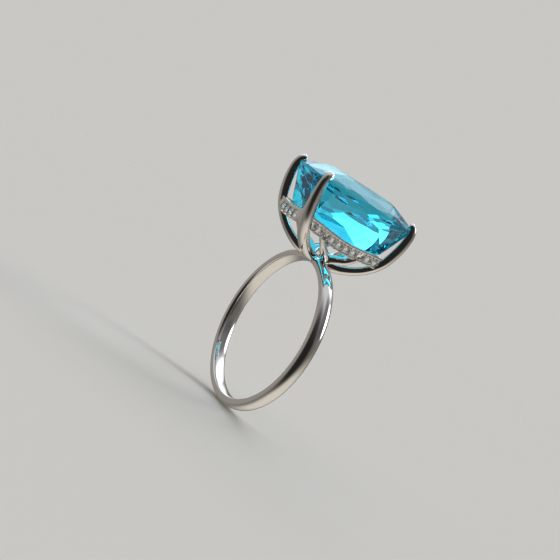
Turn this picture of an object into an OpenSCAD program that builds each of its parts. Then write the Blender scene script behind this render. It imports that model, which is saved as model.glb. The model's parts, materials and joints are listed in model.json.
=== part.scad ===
// Cocktail ring: a plain shank, a head of four claws with a stone-set gallery rail held on two forked
// brackets, and a long cushion-cut centre stone. Millimetres. The origin is the centre of the finger
// bore, +Y runs along the finger and +Z points to the head.

/* [Shank] */
// Diameter of the finger bore
bore_d = 17.3; // [16:0.1:19]
// Thickness of the shank, from the bore to the outside
shank_t = 1.15; // [1.05:0.05:1.4]
// Width of the shank along the finger
shank_w = 1.7; // [1.5:0.05:1.9]
// Rounding of the shank's inner edges
shank_in_round = 0.25; // [0.1:0.05:0.4]
// Rounding of the shank's outer edges
shank_out_round = 0.6; // [0.3:0.05:0.6]

/* [Centre stone] */
// Length of the centre stone
stone_l = 14; // [13:0.1:15]
// Width of the centre stone
stone_w = 9.5; // [9:0.1:10]
// Squareness of its outline: 2 is an ellipse, a larger value is squarer
stone_square = 3.6; // [3:0.1:4.5]
// Height of the girdle above the bore's surface
girdle_up = 8.75; // [8.3:0.05:9.2]
// Height of the crown above the girdle plane
crown_h = 1.55; // [1.45:0.05:1.8]
// Gathering of the facets towards the middles of the sides: 1 is even
facet_spread = 1.35; // [1:0.05:1.6]

/* [Claws] */
// Direction of a claw in plan, measured from the X axis
claw_az = 60.6; // [58:0.2:63]
// Width of a claw up to the rail
claw_w = 1.45; // [1.2:0.05:1.6]
// Width of a claw at its tip
claw_tip_w = 0.9; // [0.75:0.05:1.1]

/* [Gallery rail] */
// Outer half-width of the rail at the ends of its long sides
rail_x = 3.6; // [3.4:0.05:3.8]
// Outer half-length of the rail
rail_y = 6.2; // [6:0.05:6.4]
// Outward bulge of each side at its middle
rail_bulge = 0.15; // [0:0.05:0.3]
// Height of the rail's top edge below the girdle plane, beside the claws
rail_drop = 4.05; // [3.9:0.05:4.3]
// Dip of the top edge at the middle of a long side
rail_dip = 0.45; // [0:0.05:0.6]
// Height of the rail
rail_h = 1.45; // [1.35:0.05:1.6]
// Thickness of the rail
rail_t = 0.8; // [0.7:0.05:0.9]

/* [Small stones] */
// Diameter of a small stone
melee_d = 0.96; // [0.8:0.02:1]
// Distance between neighbouring small stones
melee_pitch = 1.03; // [1.02:0.01:1.06]

/* [Brackets] */
// Thickness of a bracket's arms at their root
arm_root_t = 1.05; // [0.9:0.05:1.2]
// Thickness of a bracket's arms at the rail
arm_top_t = 0.7; // [0.6:0.05:0.9]
// Distance from the middle of the rail's side to where an arm meets it
arm_reach = 2.8; // [2.4:0.1:3.2]

/* [Hidden] */
SIDE_STONES = 10; // on each long side of the rail
END_STONES = 4; // on each short end of the rail

METAL = [0.80, 0.80, 0.79];
AQUA = [0.15, 0.68, 0.88];
CLEAR = [0.86, 0.86, 0.88];
BIG = 40; // side of a block larger than any piece
TINY = 0.01; // thickness of a thin slice

bore_r = bore_d / 2;
shank_r = bore_r + shank_t;
girdle_z = bore_r + girdle_up;
half_w = stone_w / 2;
half_l = stone_l / 2;
rail_top_z = girdle_z - rail_drop;

// Direction of a claw in plan, and the corner radius of the centre stone along it
claw_dir = [cos(claw_az), sin(claw_az)];
corner_r = pow(
    pow(claw_dir[0] / half_w, stone_square) + pow(claw_dir[1] / half_l, stone_square),
    -1 / stone_square
);

// ---- general shapes ----

// Solid skin over a list of rings of points, closed by flat ends.
module skin(rings) {
    n = len(rings[0]);
    last = (len(rings) - 1) * n;
    walls = [
        for (j = [0:len(rings) - 2], i = [0:n - 1])
            let (a = j * n + i, b = j * n + (i + 1) % n)
            each [[a, b, b + n], [a, b + n, a + n]]
    ];
    ends = [[for (i = [n - 1:-1:0]) i], [for (i = [0:n - 1]) last + i]];
    polyhedron(points = [for (r = rings) each r], faces = concat(walls, ends));
}

// Catmull-Rom blend of the rows p at position u, where a whole number is a row.
function row(p, i) = p[max(0, min(len(p) - 1, i))];
function along(p, u) =
    let (i = min(floor(u), len(p) - 2), t = u - i, a = row(p, i - 1), b = row(p, i),
         c = row(p, i + 1), d = row(p, i + 2))
    0.5 * (2 * b + (c - a) * t + (2 * a - 5 * b + 4 * c - d) * t * t
        + (3 * b - 3 * c + d - a) * t * t * t);

function unit(v) = v / norm(v);

// ---- shank ----

// Section of the shank, with r across and the finger direction up.
module shank_section() {
    hull() for (side = [1, -1]) {
        translate([bore_r + shank_in_round, side * (shank_w / 2 - shank_in_round)])
            circle(r = shank_in_round, $fn = 48);
        translate([shank_r - shank_out_round, side * (shank_w / 2 - shank_out_round)])
            circle(r = shank_out_round, $fn = 48);
    }
}

module shank() {
    color(METAL) rotate([90, 0, 0]) rotate_extrude($fn = 180) shank_section();
}

// ---- centre stone ----

// Distance from the centre to the tangent of the unit outline that faces the angle a.
function reach(a) =
    let (m = stone_square / (stone_square - 1))
    pow(pow(abs(cos(a)), m) + pow(abs(sin(a)), m), 1 / m);

// Everything outside one facet. The facet faces the angle a of the unit outline, passes its share
// of the outline at height z, and falls by slope over one unit. side is 1 on the crown and
// -1 on the pavilion.
module off_cut(a, slope, share, z, side) {
    n = [slope * cos(a) / half_w, slope * sin(a) / half_l, side];
    d = slope * share * reach(a) + side * z;
    rotate([0, acos(n[2] / norm(n)), atan2(n[1], n[0])])
        translate([-BIG / 2, -BIG / 2, d / norm(n)])
        cube(BIG);
}

// Angle that a facet faces, from its even place t round the outline.
function facet_angle(t) = atan2(
    sign(sin(t)) * pow(abs(sin(t)), facet_spread),
    sign(cos(t)) * pow(abs(cos(t)), facet_spread)
);

// Cuts a ring of count facets on its child, the first one at the place start. The slope and the
// share grow from the long sides to the ends, by more[0] and more[1].
module facets(count, start, slope, share, more, z, side) {
    difference() {
        children();
        for (i = [0:count - 1])
            let (a = facet_angle(start + 360 * i / count), k = abs(sin(a)))
            off_cut(a, slope + more[0] * k, share + more[1] * k, z, side);
    }
}

girdle_h = 0.12; // half the height of the girdle's band
pavilion_h = 6.6; // more than the depth of the pavilion

// Outline of the stone as a superellipse.
module stone_outline() {
    polygon([for (i = [0:63])
        let (c = cos(360 * i / 64), s = sin(360 * i / 64), e = 2 / stone_square)
        [half_w * sign(c) * pow(abs(c), e), half_l * sign(s) * pow(abs(s), e)]]);
}

// Crown: five staggered rows round the table. Pavilion: five staggered rows and the base. The hull
// leaves the shape as it is, because a cut stone is convex, and makes it one clean solid.
module cut_stone() {
    translate([0, 0, girdle_z]) hull()
        facets(16, 11.25, 5, 1, [0, 0], girdle_h, 1)
        facets(16, 0, 3.3, 0.97, [0, 0], 0.35, 1)
        facets(16, 11.25, 2.4, 0.84, [0, 0], 0.75, 1)
        facets(8, 0, 1.7, 0.72, [0, 0], 1.12, 1)
        facets(8, 22.5, 1.3, 0.62, [0, 0], 1.4, 1)
        facets(16, 11.25, 24, 1, [0, 0], -girdle_h, -1)
        facets(8, 22.5, 8, 0.975, [9, 0], -0.7, -1)
        facets(16, 0, 6.5, 0.91, [11, 0], -1.7, -1)
        facets(16, 11.25, 4.6, 0.8, [11, 0.06], -2.9, -1)
        facets(8, 22.5, 3.2, 0.66, [6, 0.14], -3.9, -1)
        facets(8, 0, 2.2, 0.55, [0, 0], -4.5, -1)
        translate([0, 0, -pavilion_h]) linear_extrude(pavilion_h + crown_h) stone_outline();
}

module centre_stone() {
    color(AQUA) cut_stone();
}

// ---- claws ----

// Middle line of a claw in its own upright plane: out from the Z axis, up from the bore's axis,
// thickness, width.
claw_line = [
    [0.3, bore_r + 0.62, 1.1, claw_w],
    [2.6, bore_r + 0.92, 1, claw_w],
    [0.685 * corner_r, bore_r + 2.12, 0.86, claw_w],
    [0.9 * corner_r, girdle_z - 4.9, 0.95, claw_w],
    [1.005 * corner_r, girdle_z - 2.8, 1.04, 0.8 * claw_w],
    [1.045 * corner_r, girdle_z - 0.8, 0.95, 0.63 * claw_w],
    [1.025 * corner_r, girdle_z + 0.3, 0.8, 1.03 * claw_tip_w],
    [0.985 * corner_r, girdle_z + 0.68, 0.66, claw_tip_w]
];
CLAW_STEPS = 4; // rings between two rows of claw_line
NOSE = [30, 60, 82]; // rings of the rounded tip, as angles

// D-shaped section, round on the outside: s is the scale, t the thickness, w the width.
function claw_section(t, w, s) = [
    [-w / 2 * s, -t / 2 * s],
    each [for (a = [180:-20:0]) [w / 2 * cos(a) * s, t / 2 * sin(a) * s]],
    [w / 2 * s, -t / 2 * s]
];

// One ring of the claw at the place u of its line, moved on by shift and scaled by s.
function claw_ring(u, shift, s) =
    let (p = along(claw_line, u), q = along(claw_line, u + 0.01), o = along(claw_line, u - 0.01),
         g = unit([q[0] - o[0], q[1] - o[1]]), m = [g[1], -g[0]],
         c = [p[0], p[1]] + shift * g)
    [for (v = claw_section(p[2], p[3], s))
        [claw_dir[0] * (c[0] + m[0] * v[1]) + claw_dir[1] * v[0],
         claw_dir[1] * (c[0] + m[0] * v[1]) - claw_dir[0] * v[0],
         c[1] + m[1] * v[1]]];

module claw_blank() {
    rows = len(claw_line) - 1;
    tip = claw_line[rows];
    skin(concat(
        [for (i = [0:rows * CLAW_STEPS]) claw_ring(i / CLAW_STEPS, 0, 1)],
        [for (a = NOSE) claw_ring(rows, tip[2] / 2 * sin(a), cos(a))]
    ));
}

// Copies its child to one corner: sx and sy are 1 or -1.
module corner(sx, sy) {
    mirror([sx < 0 ? 1 : 0, 0, 0]) mirror([0, sy < 0 ? 1 : 0, 0]) children();
}

// The claw ends on the side of the shank and on its neighbour, and is notched for the stone.
module claw(sx, sy) {
    color(METAL) corner(sx, sy) difference() {
        claw_blank();
        translate([-BIG, -BIG / 2, 0]) cube(BIG);
        translate([-BIG / 2, shank_w / 2 - BIG, 0]) cube(BIG);
        cut_stone();
    }
}

// ---- gallery rail ----

RAIL_STEPS = 24;
RIM = 0.3; // plain rim above the row of small stones
CORNER_CUT = 0.3; // from a claw's middle line to the slanted ends of the short bars

// Outer face and top edge of a long side at y, and of a short end at x.
function side_x(y) = rail_x + rail_bulge * cos(90 * y / rail_y);
function side_top(y) = rail_top_z - rail_dip * pow(cos(90 * y / rail_y), 2);
function end_y(x) = rail_y + rail_bulge * cos(90 * x / rail_x);
function end_top(x) = rail_top_z - rail_dip / 2 * pow(cos(90 * x / rail_x), 2);

// Section of the rail with its outer top edge at the origin: out, up.
BEVEL = 0.08;
RAIL_SECTION = [
    [-BEVEL, 0], [-rail_t + BEVEL, 0], [-rail_t, -BEVEL], [-rail_t, -rail_h + BEVEL],
    [-rail_t + BEVEL, -rail_h], [-BEVEL, -rail_h], [0, -rail_h + BEVEL], [0, -BEVEL]
];

module side_bar() {
    skin([for (i = [0:RAIL_STEPS])
        let (y = rail_y * (2 * i / RAIL_STEPS - 1))
        [for (v = RAIL_SECTION) [side_x(y) + v[0], y, side_top(y) + v[1]]]]);
}

module end_bar() {
    skin([for (i = [RAIL_STEPS:-1:0])
        let (x = rail_x * (2 * i / RAIL_STEPS - 1))
        [for (v = RAIL_SECTION) [x, end_y(x) + v[0], end_top(x) + v[1]]]]);
}

// Seat of a small stone, which points along +Z from its girdle plane, with a hole behind it.
module seat() {
    cylinder(h = 1, d = melee_d + 0.02, $fn = 24);
    translate([0, 0, -0.43 * melee_d]) cylinder(h = 0.431 * melee_d, d1 = 0.04, d2 = melee_d, $fn = 24);
    translate([0, 0, -1]) cylinder(h = 1, d = 0.36 * melee_d, $fn = 24);
}

melee_sink = 0.1 * melee_d; // depth of a small stone's girdle plane under the rail's face
melee_low = RIM + melee_d / 2; // its centre, down from the rail's top edge

// Puts its child on the long side at y, or on the short end at x, pointing outward.
module on_side(y) {
    turn = atan((side_x(y + TINY) - side_x(y)) / TINY);
    translate([side_x(y) - melee_sink, y, side_top(y) - melee_low])
        rotate([0, 90, -turn]) children();
}
module on_end(x) {
    turn = atan((end_y(x + TINY) - end_y(x)) / TINY);
    translate([x, end_y(x) - melee_sink, end_top(x) - melee_low])
        rotate([-90, 0, turn]) children();
}
function place(i, count) = (i - (count + 1) / 2) * melee_pitch;

module rail_side(sx) {
    color(METAL) corner(sx, 1) difference() {
        side_bar();
        for (sy = [1, -1]) corner(1, sy) rotate([0, 0, claw_az])
            translate([-BIG / 2, -claw_w / 2, 0]) cube(BIG);
        for (i = [1:SIDE_STONES]) on_side(place(i, SIDE_STONES)) seat();
    }
}

// Everything past a slanted plane just inside the outer face of a claw, where it passes the rail.
module past_claw() {
    low = claw_line[2];
    high = claw_line[4];
    rotate([0, 0, claw_az]) translate([claw_line[3][0] + CORNER_CUT, 0, claw_line[3][1]])
        rotate([0, atan2(high[0] - low[0], high[1] - low[1]), 0])
        translate([0, -BIG / 2, -BIG / 2]) cube(BIG);
}

module rail_end(sy) {
    color(METAL) corner(1, sy) difference() {
        end_bar();
        for (sx = [1, -1]) corner(sx, 1) {
            rotate([0, 0, claw_az]) translate([-BIG / 2, claw_w / 2 - BIG, 0]) cube(BIG);
            past_claw();
        }
        for (i = [1:END_STONES]) on_end(place(i, END_STONES)) seat();
    }
}

// ---- small stones ----

// Round brilliant with its girdle plane at the origin and its table along +Z.
module brilliant(d) {
    hull() {
        translate([0, 0, 0.13 * d]) cylinder(h = TINY, d = 0.56 * d, $fn = 8);
        translate([0, 0, -0.02 * d]) cylinder(h = 0.04 * d, d = d, $fn = 12);
        translate([0, 0, -0.42 * d]) cylinder(h = TINY, d = 0.04 * d, $fn = 6);
    }
}

module melee_side(sx, i) {
    color(CLEAR) corner(sx, 1) on_side(place(i, SIDE_STONES)) brilliant(melee_d);
}
module melee_end(sy, i) {
    color(CLEAR) corner(1, sy) on_end(place(i, END_STONES)) brilliant(melee_d);
}

// ---- brackets ----

// Middle line of one arm: x, y, z, thickness.
arm_line = [
    [1.5, -0.1, shank_r - 0.2, arm_root_t],
    [2.1, 0.45, shank_r + 0.45, arm_root_t],
    [rail_x - 0.7, 0.57 * arm_reach, shank_r + 1.05, 0.5 * (arm_root_t + arm_top_t)],
    [rail_x - 0.35, arm_reach, rail_top_z - rail_h + 0.2, arm_top_t]
];
ARM_STEPS = 5;
ARM_SIDES = 12;

function arm_ring(u) =
    let (p = along(arm_line, u), q = along(arm_line, u + 0.01), o = along(arm_line, u - 0.01),
         g = unit([q[0] - o[0], q[1] - o[1], q[2] - o[2]]),
         m = unit(cross(g, [0, 0, 1])), k = cross(m, g))
    [for (i = [0:ARM_SIDES - 1])
        let (a = 360 * i / ARM_SIDES)
        [p[0], p[1], p[2]] + p[3] / 2 * (cos(a) * m + sin(a) * k)];

module arm() {
    last = (len(arm_line) - 1) * ARM_STEPS;
    skin([for (i = [0:last]) arm_ring(i / ARM_STEPS)]);
}

// A fork of two arms from the outside of the shank up to the rail.
module bracket(sx) {
    color(METAL) corner(sx, 1) difference() {
        union() {
            arm();
            mirror([0, 1, 0]) arm();
        }
        rotate([90, 0, 0]) cylinder(h = BIG, r = shank_r, center = true, $fn = 180);
        side_bar();
    }
}

// ---- the pieces ----

shank();
centre_stone();
claw(-1, -1);  // claw_1
claw(1, -1);  // claw_2
claw(1, 1);  // claw_3
claw(-1, 1);  // claw_4
rail_side(1);  // rail_side_right
rail_side(-1);  // rail_side_left
rail_end(-1);  // rail_end_front
rail_end(1);  // rail_end_back
bracket(1);  // bracket_right
bracket(-1);  // bracket_left
for (i = [1:SIDE_STONES]) {
    melee_side(1, i);
    melee_side(-1, i);
}
for (i = [1:END_STONES]) {
    melee_end(-1, i);
    melee_end(1, i);
}
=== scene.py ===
"""Cocktail ring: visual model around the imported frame. Lengths are in millimetres until a mesh is made."""
import json
import math

import bmesh
import bpy
from mathutils import Matrix, Vector


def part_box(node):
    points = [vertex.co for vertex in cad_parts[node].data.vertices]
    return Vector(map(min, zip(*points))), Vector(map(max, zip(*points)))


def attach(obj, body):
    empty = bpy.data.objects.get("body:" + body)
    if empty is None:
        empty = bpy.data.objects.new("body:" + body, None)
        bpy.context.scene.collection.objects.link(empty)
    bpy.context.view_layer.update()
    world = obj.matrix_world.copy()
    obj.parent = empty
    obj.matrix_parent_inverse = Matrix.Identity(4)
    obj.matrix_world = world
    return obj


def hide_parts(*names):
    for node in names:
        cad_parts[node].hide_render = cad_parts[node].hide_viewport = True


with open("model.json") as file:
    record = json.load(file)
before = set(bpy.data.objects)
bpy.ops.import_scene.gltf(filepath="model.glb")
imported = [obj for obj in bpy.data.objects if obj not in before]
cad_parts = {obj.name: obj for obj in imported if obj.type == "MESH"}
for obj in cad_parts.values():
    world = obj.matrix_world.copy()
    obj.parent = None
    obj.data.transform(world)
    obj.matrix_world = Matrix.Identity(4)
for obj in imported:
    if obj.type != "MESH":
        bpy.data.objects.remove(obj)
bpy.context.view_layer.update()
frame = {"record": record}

MM = 0.001


def box_mm(node):
    """Lowest and highest corner of a CAD node, in millimetres."""
    low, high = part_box(node)
    return low / MM, high / MM


# ---- sizes, from the frame ----

BORE_R = frame["record"]["mounts"][0]["dims"]["r_mm"]
SHANK_LOW, SHANK_HIGH = box_mm("shank")
SHANK_R = SHANK_HIGH.x
SHANK_HALF_W = SHANK_HIGH.y
STONE_LOW, STONE_HIGH = box_mm("centre_stone")
HALF_W = STONE_HIGH.x
HALF_L = STONE_HIGH.y
CROWN_H = 1.55
GIRDLE_Z = STONE_HIGH.z - CROWN_H
SQUARENESS = 3.6
SIDE_STONES = 10
END_STONES = 4


# ---- camera ----

CAMERA_AIM = Vector((-1.389, -1.509, 5.131)) * MM
CAMERA_DISTANCE = 177.66 * MM
CAMERA_AZIMUTH = math.radians(59.714)
CAMERA_ELEVATION = math.radians(4.887)
CAMERA_ROLL = math.radians(32.949)
CAMERA_LENS = 102.857
SENSOR = 36
CLIP_NEAR = 1 * MM
CLIP_FAR = 5


def make_camera():
    """The camera at the photograph's viewing angle, rolled because the ring leans."""
    data = bpy.data.cameras.new("camera")
    data.lens = CAMERA_LENS
    data.sensor_width = SENSOR
    data.clip_start = CLIP_NEAR
    data.clip_end = CLIP_FAR
    camera = bpy.data.objects.new("camera", data)
    flat = math.cos(CAMERA_ELEVATION)
    back = Vector((
        math.sin(CAMERA_AZIMUTH) * flat,
        -math.cos(CAMERA_AZIMUTH) * flat,
        math.sin(CAMERA_ELEVATION),
    ))
    level = (-back).to_track_quat("-Z", "Y").to_matrix().to_4x4()
    roll = Matrix.Rotation(CAMERA_ROLL, 4, "Z")
    place = Matrix.Translation(CAMERA_AIM + back * CAMERA_DISTANCE)
    camera.matrix_world = place @ level @ roll
    bpy.context.scene.collection.objects.link(camera)
    bpy.context.scene.camera = camera


# ---- meshes ----

def mesh_from(name, verts, faces):
    """Mesh from points in millimetres."""
    mesh = bpy.data.meshes.new(name)
    mesh.from_pydata([Vector(v) * MM for v in verts], [], faces)
    mesh.validate()
    mesh.update()
    return mesh


def piece(name, mesh, material, nodes, smooth=True):
    """Object for a mesh: rides on the body, hides the CAD nodes it stands in for and takes a material slot.
    """
    thing = bpy.data.objects.new(name, mesh)
    bpy.context.scene.collection.objects.link(thing)
    for polygon in mesh.polygons:
        polygon.use_smooth = smooth
    mesh.materials.clear()
    mesh.materials.append(material)
    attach(thing, "root")
    if nodes:
        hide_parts(*nodes)
    return thing


def skin(rings, closed=False):
    """Faces over a list of equal rings of points; flat ends unless the rings close on themselves."""
    n = len(rings[0])
    count = len(rings)
    verts = [v for ring in rings for v in ring]
    faces = []
    for j in range(count if closed else count - 1):
        for i in range(n):
            a, b = j * n + i, j * n + (i + 1) % n
            c, d = ((j + 1) % count) * n + (i + 1) % n, ((j + 1) % count) * n + i
            faces.append((a, b, c, d))
    if not closed:
        faces.append(tuple(range(n - 1, -1, -1)))
        faces.append(tuple((count - 1) * n + i for i in range(n)))
    return verts, faces


def row(rows, i):
    """A row by number, or the first or last one past either end."""
    return rows[max(0, min(len(rows) - 1, i))]


NUDGE = 0.01  # step along a curve from which its direction is taken


def along(rows, u):
    """Catmull-Rom blend of rows at u, where a whole number is a row."""
    i = min(int(math.floor(u)), len(rows) - 2)
    t = u - i
    a, b, c, d = (row(rows, i + k) for k in (-1, 0, 1, 2))
    return [
        0.5 * (2 * q + (r - p) * t + (2 * p - 5 * q + 4 * r - s) * t * t
               + (3 * q - 3 * r + s - p) * t ** 3)
        for p, q, r, s in zip(a, b, c, d)
    ]


def arc(cx, cy, r, start, end, steps):
    """Points on an arc, angles in degrees."""
    return [
        (cx + r * math.cos(math.radians(start + (end - start) * k / steps)),
         cy + r * math.sin(math.radians(start + (end - start) * k / steps)))
        for k in range(steps + 1)
    ]


# ---- solids and cutting ----

def bisect(bm, co, no, dist=0):
    """Keeps the side of a plane that its normal points away from, and fills the cut with one face."""
    geom = bm.verts[:] + bm.edges[:] + bm.faces[:]
    done = bmesh.ops.bisect_plane(
        bm, geom=geom, dist=dist, plane_co=co, plane_no=no, clear_outer=True
    )
    edges = [e for e in done["geom_cut"] if isinstance(e, bmesh.types.BMEdge) and e.is_boundary]
    if edges:
        bmesh.ops.edgeloop_fill(bm, edges=edges)


def solid(verts, faces):
    bm = bmesh.new()
    made = [bm.verts.new(v) for v in verts]
    for f in faces:
        bm.faces.new([made[i] for i in f])
    return bm


def finished(bm, name, sx=1, sy=1):
    """Mesh in metres from a bmesh in millimetres, mirrored where sx or sy is -1."""
    bmesh.ops.scale(bm, verts=bm.verts, vec=(sx * MM, sy * MM, MM))
    bmesh.ops.recalc_face_normals(bm, faces=bm.faces)
    mesh = bpy.data.meshes.new(name)
    bm.to_mesh(mesh)
    bm.free()
    return mesh


def subtract(mesh, cutter):
    """Mesh with the volume of another mesh taken away."""
    body = bpy.data.objects.new("body", mesh)
    tool = bpy.data.objects.new("tool", cutter)
    for thing in (body, tool):
        bpy.context.scene.collection.objects.link(thing)
    step = body.modifiers.new("cut", "BOOLEAN")
    step.operation = "DIFFERENCE"
    step.solver = "EXACT"
    step.object = tool
    graph = bpy.context.evaluated_depsgraph_get()
    result = bpy.data.meshes.new_from_object(body.evaluated_get(graph))
    for thing in (body, tool):
        bpy.data.objects.remove(thing)
    return result


def revolve(profile, steps, place):
    """Closed solid of revolution about the local Z axis; profile is (radius, z) from axis to axis."""
    verts = [place @ Vector((0, 0, profile[0][1]))]
    for r, z in profile[1:-1]:
        for k in range(steps):
            a = 2 * math.pi * k / steps
            verts.append(place @ Vector((r * math.cos(a), r * math.sin(a), z)))
    verts.append(place @ Vector((0, 0, profile[-1][1])))
    end = len(verts) - 1
    faces = []
    rings = len(profile) - 2
    for k in range(steps):
        n = (k + 1) % steps
        faces.append((0, 1 + k, 1 + n))
        for j in range(rings - 1):
            a, b = 1 + j * steps, 1 + (j + 1) * steps
            faces.append((a + k, b + k, b + n, a + n))
        last = 1 + (rings - 1) * steps
        faces.append((end, last + n, last + k))
    return verts, faces


def joined(parts):
    """One list of points and faces from several."""
    verts, faces = [], []
    for v, f in parts:
        start = len(verts)
        verts += v
        faces += [tuple(i + start for i in face) for face in f]
    return verts, faces


def smooth_by_angle(mesh, degrees):
    """Smooth shading, with edges sharper than an angle kept sharp."""
    for polygon in mesh.polygons:
        polygon.use_smooth = True
    bm = bmesh.new()
    bm.from_mesh(mesh)
    for edge in bm.edges:
        if len(edge.link_faces) != 2 or edge.calc_face_angle(0) > math.radians(degrees):
            edge.smooth = False
    bm.to_mesh(mesh)
    bm.free()


# ---- shank ----

SHANK_IN_DOME = 0.25
SHANK_OUT_DOME = 0.62
SHANK_STEPS = 320


def shank_section():
    """Section of the shank as (radius, y) points: a shallow dome inside and a deep one outside."""
    hw = SHANK_HALF_W
    a, b = SHANK_IN_DOME, SHANK_OUT_DOME
    inside = [
        (BORE_R + a - a * math.cos(math.radians(t)), -hw * math.sin(math.radians(t)))
        for t in range(-90, 90, 6)
    ]
    outside = [
        (SHANK_R - b + b * math.cos(math.radians(t)), hw * math.sin(math.radians(t)))
        for t in range(-90, 90, 6)
    ]
    return inside + outside


def make_shank(metal):
    rings = []
    section = shank_section()
    for k in range(SHANK_STEPS):
        angle = 2 * math.pi * k / SHANK_STEPS
        rings.append([(r * math.cos(angle), y, r * math.sin(angle)) for r, y in section])
    verts, faces = skin(rings, closed=True)
    piece("shank_band", mesh_from("shank_band", verts, faces), metal, ["shank"])


# ---- centre stone ----

GIRDLE_H = 0.12
PAVILION_H = 6.6
FACET_SPREAD = 1.35
FACET_SNAP = 1e-5  # a point as near as this to a facet's plane counts as on it
OUTLINE_STEPS = 96
# Rows of facets: count, first angle, slope and share of the outline at the long sides, what the
# ends have more of each, z, side.
STONE_CUTS = [
    (16, 11.25, 5, 1, 0, 0, GIRDLE_H, 1),
    (16, 0, 3.3, 0.97, 0, 0, 0.35, 1),
    (16, 11.25, 2.4, 0.84, 0, 0, 0.75, 1),
    (8, 0, 1.7, 0.72, 0, 0, 1.12, 1),
    (8, 22.5, 1.3, 0.62, 0, 0, 1.4, 1),
    (16, 11.25, 24, 1, 0, 0, -GIRDLE_H, -1),
    (8, 22.5, 8, 0.975, 9, 0, -0.7, -1),
    (16, 0, 6.5, 0.91, 11, 0, -1.7, -1),
    (16, 11.25, 4.6, 0.8, 11, 0.06, -2.9, -1),
    (8, 22.5, 3.2, 0.66, 6, 0.14, -3.9, -1),
    (8, 0, 2.2, 0.55, 0, 0, -4.5, -1),
]


def reach(a):
    """Distance from the centre to the tangent of the unit outline that faces the angle a."""
    m = SQUARENESS / (SQUARENESS - 1)
    return (abs(math.cos(a)) ** m + abs(math.sin(a)) ** m) ** (1 / m)


def cut(bm, normal, distance):
    """Cuts a flat facet: what stays has a dot product with the normal of no more than distance."""
    n = Vector(normal)
    bisect(bm, n * (distance / n.length_squared), n.normalized(), FACET_SNAP)


def facet_angle(t):
    """Angle that a facet faces, from its even place t round the outline, as on a squarish stone."""
    c, q = math.cos(t), math.sin(t)
    return math.atan2(
        math.copysign(abs(q) ** FACET_SPREAD, q), math.copysign(abs(c) ** FACET_SPREAD, c)
    )


def facets(bm, count, start, slope, share, more_slope, more_share, z, side):
    """A ring of count facets, as the CAD stone has them."""
    for i in range(count):
        a = facet_angle(math.radians(start + 360 * i / count))
        k = abs(math.sin(a))
        s = slope + more_slope * k
        normal = (s * math.cos(a) / HALF_W, s * math.sin(a) / HALF_L, side)
        cut(bm, normal, s * (share + more_share * k) * reach(a) + side * z)


def prism(bm, outline, low, high):
    """Closed prism over an outline."""
    lower = [bm.verts.new((x, y, low)) for x, y in outline]
    upper = [bm.verts.new((x, y, high)) for x, y in outline]
    n = len(outline)
    bm.faces.new(lower[::-1])
    bm.faces.new(upper)
    for i in range(n):
        j = (i + 1) % n
        bm.faces.new((lower[i], lower[j], upper[j], upper[i]))


def superellipse(count):
    """Points round the stone's outline at its girdle."""
    points = []
    for i in range(count):
        c, s = math.cos(2 * math.pi * i / count), math.sin(2 * math.pi * i / count)
        e = 2 / SQUARENESS
        points.append((
            HALF_W * math.copysign(abs(c) ** e, c),
            HALF_L * math.copysign(abs(s) ** e, s),
        ))
    return points


def stone_bmesh():
    bm = bmesh.new()
    prism(bm, superellipse(OUTLINE_STEPS), -PAVILION_H, CROWN_H)
    for row_of_cuts in STONE_CUTS:
        facets(bm, *row_of_cuts)
    bmesh.ops.recalc_face_normals(bm, faces=bm.faces)
    return bm


def make_centre_stone(material):
    bm = stone_bmesh()
    bmesh.ops.translate(bm, verts=bm.verts, vec=(0, 0, GIRDLE_Z))
    bmesh.ops.scale(bm, verts=bm.verts, vec=(MM, MM, MM))
    mesh = bpy.data.meshes.new("blue_cushion_stone")
    bm.to_mesh(mesh)
    bm.free()
    piece("blue_cushion_stone", mesh, material, ["centre_stone"], smooth=False)


# ---- claws ----

CLAW_AZ = math.radians(60.6)
CLAW_DIR = (math.cos(CLAW_AZ), math.sin(CLAW_AZ))
CORNER_R = (
    (CLAW_DIR[0] / HALF_W) ** SQUARENESS + (CLAW_DIR[1] / HALF_L) ** SQUARENESS
) ** (-1 / SQUARENESS)
CLAW_W = 1.45
CLAW_TIP_W = 0.9
# out from the Z axis, up from the bore's axis, thickness, width
CLAW_LINE = [
    (0.3, BORE_R + 0.62, 1.1, CLAW_W),
    (2.6, BORE_R + 0.92, 1.0, CLAW_W),
    (0.685 * CORNER_R, BORE_R + 2.12, 0.86, CLAW_W),
    (0.9 * CORNER_R, GIRDLE_Z - 4.9, 0.95, CLAW_W),
    (1.005 * CORNER_R, GIRDLE_Z - 2.8, 1.04, 0.8 * CLAW_W),
    (1.045 * CORNER_R, GIRDLE_Z - 0.8, 0.95, 0.63 * CLAW_W),
    (1.025 * CORNER_R, GIRDLE_Z + 0.3, 0.8, 1.03 * CLAW_TIP_W),
    (0.985 * CORNER_R, GIRDLE_Z + 0.68, 0.66, CLAW_TIP_W),
]
CLAW_STEPS = 14
CLAW_EDGE = 0.1


def claw_section(t, w):
    """D-shaped section as (across, out), round outside and with small rounds inside."""
    e = CLAW_EDGE
    points = arc(-w / 2 + e, -t / 2 + e, e, 270, 180, 4)
    points += [
        (w / 2 * math.cos(math.radians(a)), t / 2 * math.sin(math.radians(a)))
        for a in range(180, -1, -9)
    ]
    points += arc(w / 2 - e, -t / 2 + e, e, 0, -90, 4)
    return points


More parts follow.
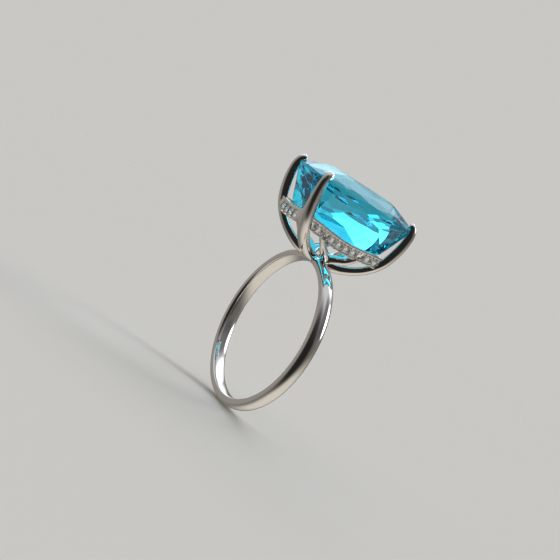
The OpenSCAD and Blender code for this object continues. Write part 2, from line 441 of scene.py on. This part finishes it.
def claw_ring(u, shift, scale):
    """Section of the claw at u, moved along the claw by shift and shrunk to scale."""
    p, q, o = along(CLAW_LINE, u), along(CLAW_LINE, u + NUDGE), along(CLAW_LINE, u - NUDGE)
    g = Vector((q[0] - o[0], q[1] - o[1])).normalized()
    m = Vector((g.y, -g.x))
    c = Vector((p[0], p[1])) + shift * g
    ring = []
    for across, out in claw_section(p[2], p[3]):
        r = c.x + m.x * out * scale
        z = c.y + m.y * out * scale
        k = across * scale
        ring.append((CLAW_DIR[0] * r + CLAW_DIR[1] * k, CLAW_DIR[1] * r - CLAW_DIR[0] * k, z))
    return ring


def claw_mesh(name, sx, sy):
    last = len(CLAW_LINE) - 1
    rings = [claw_ring(i / CLAW_STEPS, 0, 1) for i in range(last * CLAW_STEPS + 1)]
    tip = CLAW_LINE[last]
    for a in range(10, 90, 8):
        angle = math.radians(a)
        rings.append(claw_ring(last, tip[2] / 2 * math.sin(angle), math.cos(angle)))
    bm = solid(*skin(rings))
    bisect(bm, (0, 0, 0), (-1, 0, 0))
    bisect(bm, (0, SHANK_HALF_W, 0), (0, -1, 0))
    return finished(bm, name, sx, sy)


def make_claws(metal):
    corners = [(-1, -1), (1, -1), (1, 1), (-1, 1)]
    for i, (sx, sy) in enumerate(corners, 1):
        name = f"claw_{i}_polished"
        piece(name, claw_mesh(name, sx, sy), metal, [f"claw_{i}"])


# ---- gallery rail ----

RAIL_X = 3.6
RAIL_Y = 6.2
RAIL_BULGE = 0.15
RAIL_TOP = GIRDLE_Z - 4.05
RAIL_DIP = 0.45
RAIL_H = 1.45
RAIL_T = 0.8
RIM = 0.3
RIM_ROUND = 0.11
RIM_STEP = 0.05
RIM_FOOT = 0.07
FIELD_IN = RIM_STEP + 0.01
LOWER_EDGE = 0.08
LOWER_STEP = 0.02
RAIL_STEPS = 72
MELEE_D = 0.96
MELEE_PITCH = 1.03
MELEE_SINK = 0.1 * MELEE_D
MELEE_LOW = RIM + MELEE_D / 2
BEAD_R = 0.1
BEAD_UP = 0.36
CORNER_CUT = 0.3
BAR_END = 0.5  # from a claw's middle plane to the bar's end inside it
SCALLOP_R = 0.25
SEAT_PLAY = 0.01
SEAT_DEPTH = 0.3 * MELEE_D
SEAT_HOLE_R = 0.18 * MELEE_D
# how far the cutters stand out of a bar's face and go into it
CUTTER_OUT = 1
CUTTER_IN = 1.2
BEAD_PROUD = 0.02
BAR_CREASE = 40  # degrees past which an edge of a bar is shaded sharp


def wave(v, half):
    """1 in the middle of a bar and 0 at its ends."""
    return math.cos(math.radians(90 * v / half))


def side_x(y):
    return RAIL_X + RAIL_BULGE * wave(y, RAIL_Y)


def side_top(y):
    return RAIL_TOP - RAIL_DIP * wave(y, RAIL_Y) ** 2


def end_y(x):
    return RAIL_Y + RAIL_BULGE * wave(x, RAIL_X)


def end_top(x):
    return RAIL_TOP - RAIL_DIP / 2 * wave(x, RAIL_X) ** 2


def rail_section():
    """Section as (out, up) from the outer top edge: a rounded rim above a flat field for the stones."""
    r = RIM_ROUND
    points = arc(-RAIL_T + r, -r, r, 180, 90, 6)
    points += arc(-r, -r, r, 90, 0, 6)
    e = LOWER_EDGE
    points += arc(-RIM_STEP, -RIM + RIM_FOOT, RIM_STEP, 0, -90, 4)
    points += [(-FIELD_IN, -RIM), (-FIELD_IN, -RAIL_H + e + LOWER_STEP)]
    points += arc(-FIELD_IN - e, -RAIL_H + e, e, 0, -90, 4)
    points += arc(-RAIL_T + e, -RAIL_H + e, e, -90, -180, 4)
    return points


def side_point(y, out, up):
    """Point on a side bar, from the outer top edge at y."""
    return (side_x(y) + out, y, side_top(y) + up)


def end_point(x, out, up):
    """Point on an end bar, from the outer top edge at x."""
    return (x, end_y(x) + out, end_top(x) + up)


def frame_at(point, v):
    """Local axes at a place on a bar's face: Z points outward and X points down."""
    face, step = Vector(point(v, 0, 0)), Vector(point(v + NUDGE, 0, 0))
    run = step - face
    run.z = 0
    outward = run.normalized().cross(Vector((0, 0, 1)))
    if outward.dot(Vector((face.x, face.y, 0))) < 0:
        outward = -outward
    down = Vector((0, 0, -1))
    across = outward.cross(down)
    turn = Matrix((down, across, outward)).transposed().to_4x4()
    return Matrix.Translation(face - outward * MELEE_SINK - Vector((0, 0, MELEE_LOW))) @ turn


def places(count):
    """Where the small stones sit along a bar."""
    return [(i - (count - 1) / 2) * MELEE_PITCH for i in range(count)]


def gaps(count):
    """Half way between neighbouring small stones."""
    return [(i - (count - 2) / 2) * MELEE_PITCH for i in range(count - 1)]


def seat_cutters(point, count):
    """Seats for the stones, and scallops in the lower edge between them."""
    parts = []
    r = MELEE_D / 2 + SEAT_PLAY
    seat = [
        (0, CUTTER_OUT),
        (r, CUTTER_OUT),
        (r, 0),
        (SEAT_HOLE_R, -SEAT_DEPTH),
        (SEAT_HOLE_R, -CUTTER_IN),
        (0, -CUTTER_IN),
    ]
    for v in places(count):
        parts.append(revolve(seat, 28, frame_at(point, v)))
    drop = RAIL_H - MELEE_LOW
    notch = [(0, CUTTER_OUT), (SCALLOP_R, CUTTER_OUT), (SCALLOP_R, -CUTTER_IN), (0, -CUTTER_IN)]
    for v in gaps(count):
        shifted = frame_at(point, v) @ Matrix.Translation((drop, 0, 0))
        parts.append(revolve(notch, 24, shifted))
    return joined(parts)


def bead_parts(point, count):
    """Domed grains of metal that hold the stones: two in each gap."""
    parts = []
    dome = [(0, BEAD_R)]
    dome += [
        (BEAD_R * math.sin(math.radians(a)), BEAD_R * math.cos(math.radians(a)))
        for a in range(15, 180, 15)
    ]
    dome.append((0, -BEAD_R))
    lift = MELEE_SINK - RIM_STEP + BEAD_PROUD
    for v in gaps(count):
        for side in (-1, 1):
            shifted = frame_at(point, v) @ Matrix.Translation((side * BEAD_UP, 0, lift))
            parts.append(revolve(dome, 16, shifted))
    return joined(parts)


def corner_cut_normal(flip):
    """Normal of a plane just inside a claw's outer face, where the claw passes the rail."""
    low, high = CLAW_LINE[2], CLAW_LINE[4]
    run = Vector((high[0] - low[0], high[1] - low[1])).normalized()
    return Vector((CLAW_DIR[0] * flip * run.y, CLAW_DIR[1] * run.y, -run.x))


def corner_cut_at(flip):
    """A point on that plane, CORNER_CUT outside the claw's middle line."""
    r = CLAW_LINE[3][0] + CORNER_CUT
    return Vector((CLAW_DIR[0] * flip * r, CLAW_DIR[1] * r, CLAW_LINE[3][1]))


def bar_mesh(name, point, half, keep, count, sx, sy):
    """One bar of the rail, cut at the claws' flanks, with its seats."""
    section = rail_section()
    rings = []
    for i in range(RAIL_STEPS + 1):
        v = half * (2 * i / RAIL_STEPS - 1)
        rings.append([point(v, out, up) for out, up in section])
    bm = solid(*skin(rings))
    across = Vector((CLAW_DIR[1], -CLAW_DIR[0], 0))
    for flip in (-1, 1):
        no = Vector((across.x, across.y * flip, 0))
        if point is end_point:
            no = Vector((across.x * flip, across.y, 0))
        bisect(bm, -no * keep * BAR_END, no * keep)
        if point is end_point:
            bisect(bm, corner_cut_at(flip), corner_cut_normal(flip))
    bar = finished(bm, name)
    verts, faces = seat_cutters(point, count)
    cutter = finished(solid(verts, faces), "seats")
    result = subtract(bar, cutter)
    result.name = name
    if sx < 0 or sy < 0:
        result.transform(Matrix.Diagonal((sx, sy, 1, 1)))
        result.flip_normals()
    return result


def make_rail(metal, bead_metal_painted_lighter):
    bars = [
        ("rail_side_right", side_point, RAIL_Y, -1, SIDE_STONES, 1, 1),
        ("rail_side_left", side_point, RAIL_Y, -1, SIDE_STONES, -1, 1),
        ("rail_end_front", end_point, RAIL_X, 1, END_STONES, 1, -1),
        ("rail_end_back", end_point, RAIL_X, 1, END_STONES, 1, 1),
    ]
    for node, point, half, keep, count, sx, sy in bars:
        mesh = bar_mesh(node + "_bar", point, half, keep, count, sx, sy)
        piece(node + "_bar", mesh, metal, [node], smooth=False)
        smooth_by_angle(mesh, BAR_CREASE)
        # the beads take the metal whose lighter colour is painted light
        beads = finished(solid(*bead_parts(point, count)), node + "_beads", sx, sy)
        piece(node + "_beads", beads, bead_metal_painted_lighter, [])


# ---- small stones ----

# sizes are shares of the stone's diameter
MELEE_CROWN = 0.13
MELEE_PAVILION = 0.43
MELEE_SIDES = 32
# Rows of facets: count, first angle, tilt in degrees, distance from the axis, z, side.
MELEE_CUTS = [
    (16, 11.25, 42, 0.5, 0.015, 1),
    (8, 0, 34, 0.5, 0.02, 1),
    (8, 22.5, 22, 0.28, MELEE_CROWN, 1),
    (16, 11.25, 42.5, 0.5, -0.015, -1),
    (8, 0, 40.8, 0.495, -0.02, -1),
]


def melee_bmesh():
    """Round brilliant in millimetres, girdle at 0 and table up."""
    d = MELEE_D
    bm = bmesh.new()
    n = MELEE_SIDES
    turns = [2 * math.pi * i / n for i in range(n)]
    outline = [(d / 2 * math.cos(a), d / 2 * math.sin(a)) for a in turns]
    prism(bm, outline, -MELEE_PAVILION * d, MELEE_CROWN * d)
    for count, start, tilt, at, z, side in MELEE_CUTS:
        for i in range(count):
            a = math.radians(start + 360 * i / count)
            slope = math.tan(math.radians(tilt))
            cut(bm, (slope * math.cos(a), slope * math.sin(a), side), slope * at * d + side * z * d)
    return bm


def make_melee(material):
    rows = [
        ("right", side_point, SIDE_STONES, 1, 1),
        ("left", side_point, SIDE_STONES, -1, 1),
        ("front", end_point, END_STONES, 1, -1),
        ("back", end_point, END_STONES, 1, 1),
    ]
    cut_stone = melee_bmesh()
    pattern = bpy.data.meshes.new("pattern")
    cut_stone.to_mesh(pattern)
    cut_stone.free()
    for side, point, count, sx, sy in rows:
        for i, v in enumerate(places(count), 1):
            bm = bmesh.new()
            bm.from_mesh(pattern)
            bmesh.ops.transform(bm, matrix=frame_at(point, v), verts=bm.verts)
            name = f"brilliant_{side}_{i}"
            mesh = finished(bm, name, sx, sy)
            piece(name, mesh, material, [f"melee_{side}_{i}"], smooth=False)
    bpy.data.meshes.remove(pattern)


# ---- brackets ----

ARM_REACH = 2.8
ARM_ROOT_T = 1.05
ARM_TOP_T = 0.7
# x, y, z, thickness
ARM_LINE = [
    (1.5, -0.1, SHANK_R - 0.2, ARM_ROOT_T),
    (2.1, 0.45, SHANK_R + 0.45, ARM_ROOT_T),
    (RAIL_X - 0.7, 0.57 * ARM_REACH, SHANK_R + 1.05, 0.5 * (ARM_ROOT_T + ARM_TOP_T)),
    (RAIL_X - 0.35, ARM_REACH, RAIL_TOP - RAIL_H + 0.2, ARM_TOP_T),
]
ARM_STEPS = 16
ARM_SIDES = 28


def arm_ring(u):
    """Round section of a bracket's arm at u."""
    p, q, o = along(ARM_LINE, u), along(ARM_LINE, u + NUDGE), along(ARM_LINE, u - NUDGE)
    g = (Vector(q[:3]) - Vector(o[:3])).normalized()
    m = g.cross(Vector((0, 0, 1))).normalized()
    k = m.cross(g)
    ring = []
    for i in range(ARM_SIDES):
        a = 2 * math.pi * i / ARM_SIDES
        ring.append(tuple(Vector(p[:3]) + (math.cos(a) * m + math.sin(a) * k) * (p[3] / 2)))
    return ring


def make_brackets(metal):
    last = (len(ARM_LINE) - 1) * ARM_STEPS
    verts, faces = skin([arm_ring(i / ARM_STEPS) for i in range(last + 1)])
    other = [(x, -y, z) for x, y, z in verts]
    back = [tuple(reversed(f)) for f in faces]
    for node, sx in (("bracket_right", 1), ("bracket_left", -1)):
        parts = joined([(verts, faces), (other, back)])
        mesh = finished(solid(*parts), node + "_fork", sx)
        piece(node + "_fork", mesh, metal, [node])


# ---- materials ----

MICRON = 1e-6
# noise scales, per metre
METAL_HAZE_SCALE = 700
WHEEL_WAVE_SCALE = 420
POLISH_MARK_SCALE = 9000
POLISH_MARK_STRETCH = (1, 0.12, 1)
GEM_HAZE_SCALE = 260
# part of the noise's range over which the roughness runs from its low to its high value
METAL_HAZE_SPAN = (0.35, 0.7)
GEM_HAZE_SPAN = (0.45, 0.8)
GEM_ROUGHNESS = (0, 0.01)
TINT_DARKEST = 0.9

WHITE_METAL = (0.80, 0.78, 0.755)
# lighter than the white metal: painted light, which lifts the rail bars out of the studio's shade
RAIL_COLOUR_PAINTED_LIGHTER = (0.93, 0.91, 0.87)
# lighter than the white metal: painted light, which lifts the beads out of the studio's shade
BEAD_COLOUR_PAINTED_LIGHTER = (0.86, 0.845, 0.82)
BLUE_IOR = 1.5
BLUE_BODY = (0.24, 0.84, 1.0)
BLUE_CLEAR = 0.95  # the rest is diffuse
BLUE_INSIDE = (0.24, 0.92, 0.99)
BLUE_DENSITY = 210
SMALL_STONE_IOR = 2.1

def new_material(name):
    material = bpy.data.materials.new(name)
    material.use_nodes = True
    nodes = material.node_tree.nodes
    nodes.clear()
    return material, nodes, material.node_tree.links


def noise_node(nodes, links, scale, detail, stretch=None):
    """Noise over the object's own coordinates, in metres; stretch is a scale for each axis."""
    coords = nodes.new("ShaderNodeTexCoord")
    noise = nodes.new("ShaderNodeTexNoise")
    noise.inputs["Scale"].default_value = scale
    noise.inputs["Detail"].default_value = detail
    source = coords.outputs["Object"]
    if stretch:
        mapping = nodes.new("ShaderNodeMapping")
        mapping.inputs["Scale"].default_value = stretch
        links.new(source, mapping.inputs["Vector"])
        source = mapping.outputs["Vector"]
    links.new(source, noise.inputs["Vector"])
    return noise


def span_node(nodes, links, value, low, high, to_low, to_high):
    """A value's run from low to high, mapped to the run from to_low to to_high."""
    span = nodes.new("ShaderNodeMapRange")
    span.inputs["From Min"].default_value = low
    span.inputs["From Max"].default_value = high
    span.inputs["To Min"].default_value = to_low
    span.inputs["To Max"].default_value = to_high
    links.new(value, span.inputs["Value"])
    return span.outputs["Result"]


def polished_metal(name, colour, rough, wave_um, grain_um):
    """Polished white metal: slow waves left by the wheel, fine polishing marks and a faint haze."""
    material, nodes, links = new_material(name)
    out = nodes.new("ShaderNodeOutputMaterial")
    shader = nodes.new("ShaderNodeBsdfPrincipled")
    shader.inputs["Metallic"].default_value = 1
    haze = noise_node(nodes, links, METAL_HAZE_SCALE, 4)
    roughness = span_node(nodes, links, haze.outputs["Fac"], *METAL_HAZE_SPAN, *rough)
    links.new(roughness, shader.inputs["Roughness"])
    tint = nodes.new("ShaderNodeMix")
    tint.data_type = "RGBA"
    tint.inputs["A"].default_value = (*colour, 1)
    tint.inputs["B"].default_value = (*[TINT_DARKEST * c for c in colour], 1)
    links.new(haze.outputs["Fac"], tint.inputs["Factor"])
    links.new(tint.outputs["Result"], shader.inputs["Base Color"])
    waves = noise_node(nodes, links, WHEEL_WAVE_SCALE, 1)
    slow = nodes.new("ShaderNodeBump")
    slow.inputs["Strength"].default_value = 1
    slow.inputs["Distance"].default_value = wave_um * MICRON
    links.new(waves.outputs["Fac"], slow.inputs["Height"])
    marks = noise_node(nodes, links, POLISH_MARK_SCALE, 3, POLISH_MARK_STRETCH)
    fine = nodes.new("ShaderNodeBump")
    fine.inputs["Strength"].default_value = 1
    fine.inputs["Distance"].default_value = grain_um * MICRON
    links.new(marks.outputs["Fac"], fine.inputs["Height"])
    links.new(slow.outputs["Normal"], fine.inputs["Normal"])
    links.new(fine.outputs["Normal"], shader.inputs["Normal"])
    links.new(shader.outputs["BSDF"], out.inputs["Surface"])
    return material


def gem(name, ior, body=(1, 1, 1), clear=1, absorb=None, density=0):
    """Cut stone with a trace of polish haze: a body colour, its clear share, and absorption inside."""
    material, nodes, links = new_material(name)
    out = nodes.new("ShaderNodeOutputMaterial")
    shader = nodes.new("ShaderNodeBsdfPrincipled")
    shader.inputs["Base Color"].default_value = (*body, 1)
    shader.inputs["IOR"].default_value = ior
    shader.inputs["Transmission Weight"].default_value = clear
    haze = noise_node(nodes, links, GEM_HAZE_SCALE, 2)
    roughness = span_node(nodes, links, haze.outputs["Fac"], *GEM_HAZE_SPAN, *GEM_ROUGHNESS)
    links.new(roughness, shader.inputs["Roughness"])
    links.new(shader.outputs["BSDF"], out.inputs["Surface"])
    if absorb:
        volume = nodes.new("ShaderNodeVolumeAbsorption")
        volume.inputs["Color"].default_value = (*absorb, 1)
        volume.inputs["Density"].default_value = density
        links.new(volume.outputs["Volume"], out.inputs["Volume"])
    return material


# ---- stage ----

BACKDROP = (0.58, 0.575, 0.555)
BASE_LIGHT = (0.22, 0.205, 0.19)
# soft boxes over the base light: direction, inner and outer angle in degrees, colour
LIGHTS = [
    ((0.2, 0.85, 0.49), 8, 18, (5.5, 5.6, 5.7)),
    ((0.0, 0.0, 1.0), 20, 80, (0.5, 0.52, 0.56)),
    ((-0.8, -0.5, 0.0), 20, 60, (0.12, 0.115, 0.105)),
    ((0.25, 0.45, -0.86), 22, 66, (0.58, 0.55, 0.48)),
    ((-0.86, 0.22, 0.46), 8, 24, (1.3, 1.3, 1.45)),
    ((-0.35, 0.5, 0.79), 8, 26, (1.5, 1.6, 1.85)),
]
# a ray that passes through a stone gets this many times the light, and this share of the shades
STONE_LIGHT = 1.85
STONE_SHADE = 0.2
# fixed in the world, the deepest on the main camera's side: direction, inner and outer angle in
# degrees, share of the light taken away
SHADES = [
    ((0.77, -0.64, 0.08), 30, 70, 0.9),
    ((0.93, 0.34, 0.09), 12, 40, 0.25),
    ((0.55, 0.42, 0.72), 14, 34, 0.7),
]


def dial(nodes, links, direction, towards, inner, outer):
    """1 within inner degrees of a direction and 0 past outer degrees."""
    dot = nodes.new("ShaderNodeVectorMath")
    dot.operation = "DOT_PRODUCT"
    dot.inputs[1].default_value = Vector(towards).normalized()
    links.new(direction, dot.inputs[0])
    span = nodes.new("ShaderNodeMapRange")
    span.interpolation_type = "SMOOTHSTEP"
    span.inputs["From Min"].default_value = math.cos(math.radians(outer))
    span.inputs["From Max"].default_value = math.cos(math.radians(inner))
    links.new(dot.outputs["Value"], span.inputs["Value"])
    return span.outputs["Result"]


def make_world():
    """Studio of soft boxes and shaded zones over a soft base light.

    Camera rays see the plain backdrop, and rays that pass through a stone get more light and less
    shade than the rest, which is for the look of the stones and isn't physical.
    """
    world = bpy.data.worlds.new("studio")
    bpy.context.scene.world = world
    world.use_nodes = True
    nodes, links = world.node_tree.nodes, world.node_tree.links
    nodes.clear()
    out = nodes.new("ShaderNodeOutputWorld")
    direction = nodes.new("ShaderNodeTexCoord").outputs["Generated"]
    path = nodes.new("ShaderNodeLightPath")
    total = None
    for towards, inner, outer, colour in LIGHTS:
        amount = dial(nodes, links, direction, towards, inner, outer)
        add = nodes.new("ShaderNodeVectorMath")
        add.operation = "MULTIPLY_ADD"
        add.inputs[1].default_value = colour
        add.inputs[2].default_value = BASE_LIGHT
        links.new(amount, add.inputs[0])
        if total:
            links.new(total, add.inputs[2])
        total = add.outputs["Vector"]
    for towards, inner, outer, share in SHADES:
        amount = dial(nodes, links, direction, towards, inner, outer)
        left = nodes.new("ShaderNodeMapRange")
        left.inputs["To Min"].default_value = 1
        links.new(amount, left.inputs["Value"])
        dark = nodes.new("ShaderNodeMapRange")
        dark.inputs["To Min"].default_value = 1 - share
        dark.inputs["To Max"].default_value = 1 - share * STONE_SHADE
        links.new(path.outputs["Is Transmission Ray"], dark.inputs["Value"])
        links.new(dark.outputs["Result"], left.inputs["To Max"])
        scale = nodes.new("ShaderNodeVectorMath")
        scale.operation = "SCALE"
        links.new(total, scale.inputs[0])
        links.new(left.outputs["Result"], scale.inputs["Scale"])
        total = scale.outputs["Vector"]
    studio = nodes.new("ShaderNodeBackground")
    links.new(total, studio.inputs["Color"])
    strength = nodes.new("ShaderNodeMapRange")
    strength.inputs["To Min"].default_value = 1
    strength.inputs["To Max"].default_value = STONE_LIGHT
    links.new(path.outputs["Is Transmission Ray"], strength.inputs["Value"])
    links.new(strength.outputs["Result"], studio.inputs["Strength"])
    backdrop = nodes.new("ShaderNodeBackground")
    backdrop.inputs["Color"].default_value = (*BACKDROP, 1)
    mix = nodes.new("ShaderNodeMixShader")
    links.new(path.outputs["Is Camera Ray"], mix.inputs["Fac"])
    links.new(studio.outputs["Background"], mix.inputs[1])
    links.new(backdrop.outputs["Background"], mix.inputs[2])
    links.new(mix.outputs["Shader"], out.inputs["Surface"])


FLOOR_R = 400
FLOOR_FADE = (70, 330)
FLOOR_COLOUR = (0.77, 0.75, 0.69)  # under this studio it comes out as bright as the backdrop
FLOOR_SIDES = 96


def make_floor():
    """Pale floor under the shank, which fades into the backdrop and isn't seen in reflections."""
    n = FLOOR_SIDES
    z = SHANK_LOW.z
    turns = [2 * math.pi * i / n for i in range(n)]
    verts = [(0, 0, z)] + [(FLOOR_R * math.cos(a), FLOOR_R * math.sin(a), z) for a in turns]
    faces = [(0, i + 1, (i + 1) % n + 1) for i in range(n)]
    mesh = mesh_from("floor", verts, faces)
    floor = bpy.data.objects.new("floor", mesh)
    bpy.context.scene.collection.objects.link(floor)
    material, nodes, links = new_material("pale_paper")
    out = nodes.new("ShaderNodeOutputMaterial")
    diffuse = nodes.new("ShaderNodeBsdfDiffuse")
    diffuse.inputs["Color"].default_value = (*FLOOR_COLOUR, 1)
    clear = nodes.new("ShaderNodeBsdfTransparent")
    coords = nodes.new("ShaderNodeTexCoord")
    length = nodes.new("ShaderNodeVectorMath")
    length.operation = "LENGTH"
    span = nodes.new("ShaderNodeMapRange")
    span.interpolation_type = "SMOOTHSTEP"
    span.inputs["From Min"].default_value = FLOOR_FADE[0] * MM
    span.inputs["From Max"].default_value = FLOOR_FADE[1] * MM
    path = nodes.new("ShaderNodeLightPath")
    fade = nodes.new("ShaderNodeMath")
    fade.operation = "MAXIMUM"
    mix = nodes.new("ShaderNodeMixShader")
    links.new(coords.outputs["Object"], length.inputs[0])
    links.new(length.outputs["Value"], span.inputs["Value"])
    links.new(span.outputs["Result"], fade.inputs[0])
    links.new(path.outputs["Is Glossy Ray"], fade.inputs[1])
    links.new(fade.outputs["Value"], mix.inputs["Fac"])
    links.new(diffuse.outputs["BSDF"], mix.inputs[1])
    links.new(clear.outputs["BSDF"], mix.inputs[2])
    links.new(mix.outputs["Shader"], out.inputs["Surface"])
    mesh.materials.append(material)


bpy.context.scene.view_settings.view_transform = "Standard"
make_camera()
make_world()
make_floor()
# colour, roughness from low to high, depth of the waves and of the marks in microns
SHANK_METAL = polished_metal("shank_white_metal", WHITE_METAL, (0.03, 0.12), 4, 0.15)
HEAD_METAL = polished_metal("head_white_metal", WHITE_METAL, (0.03, 0.1), 2, 0.1)
# the rail bars' metal carries painted light in its lighter colour
RAIL_METAL_PAINTED_LIGHTER = polished_metal("rail_white_metal_painted_lighter", RAIL_COLOUR_PAINTED_LIGHTER, (0.08, 0.22), 2, 0.2)
# the beads' metal carries painted light in its lighter colour
BEAD_METAL_PAINTED_LIGHTER = polished_metal("bead_white_metal_painted_lighter", BEAD_COLOUR_PAINTED_LIGHTER, (0.05, 0.14), 1, 0.1)
SKY_BLUE = gem("sky_blue_stone", BLUE_IOR, BLUE_BODY, BLUE_CLEAR, BLUE_INSIDE, BLUE_DENSITY)
CLEAR = gem("clear_small_stone", SMALL_STONE_IOR)
make_shank(SHANK_METAL)
make_claws(HEAD_METAL)
make_rail(RAIL_METAL_PAINTED_LIGHTER, BEAD_METAL_PAINTED_LIGHTER)
make_brackets(HEAD_METAL)
make_centre_stone(SKY_BLUE)
make_melee(CLEAR)
